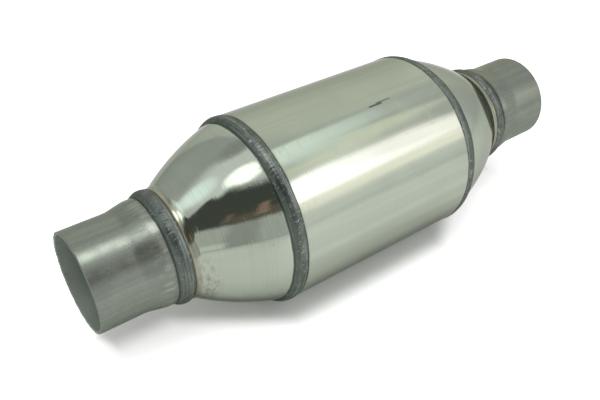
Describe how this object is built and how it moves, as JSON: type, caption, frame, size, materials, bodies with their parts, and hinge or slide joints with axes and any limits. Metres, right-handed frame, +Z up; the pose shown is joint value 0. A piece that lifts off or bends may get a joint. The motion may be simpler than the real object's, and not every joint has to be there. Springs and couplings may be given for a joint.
{
  "type": "catalytic converter",
  "caption": "Round welded stainless catalytic converter: a polished shell with domed cones and drawn-down stub pipes, holding matted ceramic honeycomb bricks between liner cones.",
  "frame": {"origin": "middle of the body shell, on its axis", "axes": "+X along the converter's axis, towards the outlet, with +Z up as it hangs under a car or lies on a floor"},
  "size_m": [0.298, 0.1024, 0.1024],
  "materials": {
    "polished_sheet": "polished stainless sheet",
    "raw_tube": "dull raw tube",
    "weld_metal": "dark rippled weld bead",
    "liner_sheet": "plain mill finish",
    "honeycomb": "matt washcoated cordierite",
    "support_mat": "pressed fibre mat",
    "wire_mesh": "knitted and pressed wire"
  },
  "bodies": {
    "root": {"body_shell": "polished_sheet", "inlet_cone": "polished_sheet", "outlet_cone": "polished_sheet", "inlet_pipe": "raw_tube", "outlet_pipe": "raw_tube", "inlet_shell_weld": "weld_metal", "outlet_shell_weld": "weld_metal", "inlet_neck_weld": "weld_metal", "outlet_neck_weld": "weld_metal", "inlet_liner_cone": "liner_sheet", "outlet_liner_cone": "liner_sheet", "brick_spacer": "liner_sheet", "front_brick": "honeycomb", "rear_brick": "honeycomb", "front_mat": "support_mat", "rear_mat": "support_mat", "front_inner_seal": "wire_mesh", "front_outer_seal": "wire_mesh", "rear_inner_seal": "wire_mesh", "rear_outer_seal": "wire_mesh"}
  },
  "joints": []
}
